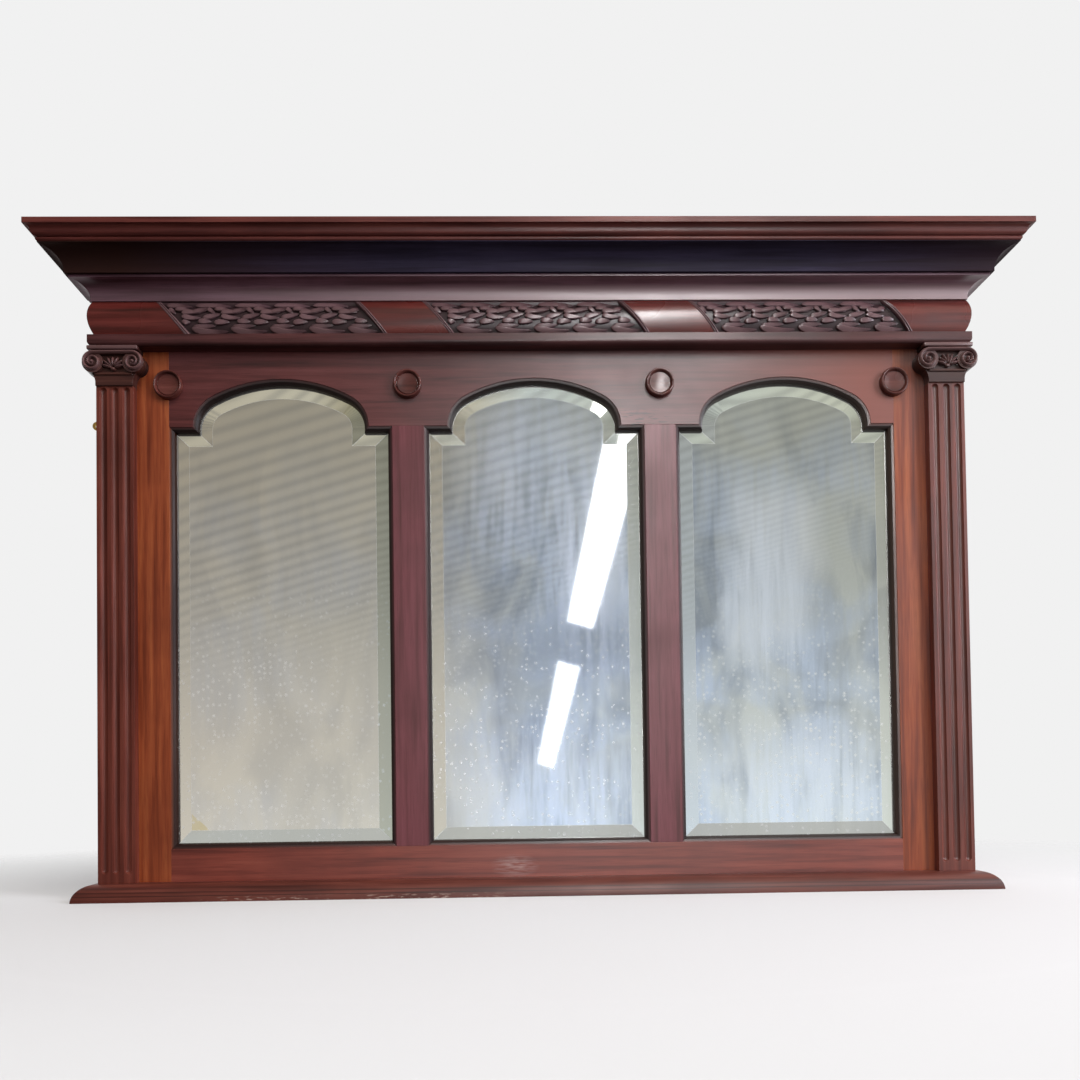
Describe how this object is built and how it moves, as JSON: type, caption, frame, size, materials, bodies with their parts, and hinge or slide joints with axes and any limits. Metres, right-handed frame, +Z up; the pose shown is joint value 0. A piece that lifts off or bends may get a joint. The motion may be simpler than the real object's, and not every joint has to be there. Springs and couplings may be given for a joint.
{
  "type": "overmantel mirror",
  "caption": "Wide wooden overmantel mirror: bevelled plates with arched, shouldered tops between fluted pilasters, under a carved cushion frieze and a deep cornice.",
  "frame": {"origin": "on the shelf the mirror stands on, under the middle of the bounding box", "axes": "+X to the viewer's right along the width, +Y to the back, towards the wall, +Z up"},
  "size_m": [1.435, 0.1054, 0.965],
  "materials": {
    "mahogany": "old dark red-brown french polish, worn and satin",
    "pine": "sawn softwood, dry and unfinished, darkened by age",
    "mirror": "silvered plate glass with a polished bevel, slightly foxed",
    "brass": "dull, aged brass",
    "steel": "dull steel"
  },
  "bodies": {
    "root": {"stile_left": "mahogany", "stile_right": "mahogany", "top_rail": "mahogany", "bottom_rail": "mahogany", "muntin_left": "mahogany", "muntin_right": "mahogany", "frieze_backing": "mahogany", "base_front": "mahogany", "base_left": "mahogany", "base_right": "mahogany", "astragal_front": "mahogany", "astragal_left": "mahogany", "astragal_right": "mahogany", "frieze_end_left": "mahogany", "frieze_mid_left": "mahogany", "frieze_mid_right": "mahogany", "frieze_end_right": "mahogany", "frieze_return_left": "mahogany", "frieze_return_right": "mahogany", "carved_frieze_left": "mahogany", "carved_frieze_centre": "mahogany", "carved_frieze_right": "mahogany", "bed_front": "mahogany", "bed_left": "mahogany", "bed_right": "mahogany", "cove_front": "mahogany", "cove_left": "mahogany", "cove_right": "mahogany", "crown_front": "mahogany", "crown_left": "mahogany", "crown_right": "mahogany", "dust_board": "pine", "pilaster_left": "mahogany", "pilaster_right": "mahogany", "capital_left": "mahogany", "capital_right": "mahogany", "roundel_outer_left": "mahogany", "roundel_inner_left": "mahogany", "roundel_inner_right": "mahogany", "roundel_outer_right": "mahogany", "mirror_left": "mirror", "mirror_centre": "mirror", "mirror_right": "mirror", "backboard_left": "pine", "backboard_centre": "pine", "backboard_right": "pine", "wall_plate_left": "brass", "wall_plate_right": "brass", "wall_plate_screws": "brass", "backboard_screws": "steel", "pilaster_screws": "steel", "cornice_screws": "steel"}
  },
  "joints": []
}
